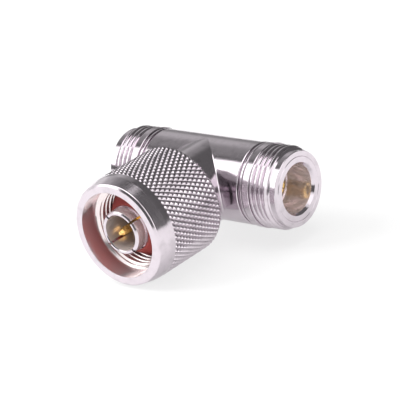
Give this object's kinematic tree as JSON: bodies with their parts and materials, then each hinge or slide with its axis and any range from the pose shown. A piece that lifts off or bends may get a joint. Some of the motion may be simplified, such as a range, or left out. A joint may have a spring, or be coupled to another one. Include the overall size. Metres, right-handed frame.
{
  "type": "coax adapter",
  "caption": "Tee coaxial adapter with a threaded female port at each end of the run and a male port with a knurled, free-spinning coupling nut on the branch.",
  "frame": {"origin": "centre of the male mating plane, at the front edge of the slotted outer contact", "axes": "-Y is the way the male port faces, X runs along the two female ports, Z is normal to the tee's plane"},
  "size_m": [0.0406, 0.037, 0.0214],
  "materials": {
    "nickel_plate": "bright nickel plate over brass",
    "gold_plate": "gold plate",
    "white_insulator": "smooth white fluoropolymer",
    "red_silicone": "soft silicone, satin",
    "spring_bronze": "bright spring bronze"
  },
  "bodies": {
    "adapter": {"tee_body": "nickel_plate", "port_sleeve_right": "nickel_plate", "port_sleeve_left": "nickel_plate", "male_shell": "nickel_plate", "male_outer_contact": "nickel_plate", "male_pin": "gold_plate", "jack_contact_right": "gold_plate", "jack_contact_left": "gold_plate", "junction_block": "gold_plate", "male_insulator": "white_insulator", "jack_insulator_right": "white_insulator", "jack_insulator_left": "white_insulator", "face_gasket": "red_silicone"},
    "nut_carrier": {"nut_retaining_ring": "spring_bronze"},
    "nut": {"coupling_nut": "nickel_plate"}
  },
  "joints": [
    {"name": "nut_float", "type": "slide", "parent": "adapter", "child": "nut_carrier", "axis": [0, -1, 0], "range_m": [0, 0.0004]},
    {"name": "nut_spin", "type": "hinge", "parent": "nut_carrier", "child": "nut", "pos_m": [0, 0.014, 0], "axis": [0, -1, 0], "continuous": true}
  ]
}
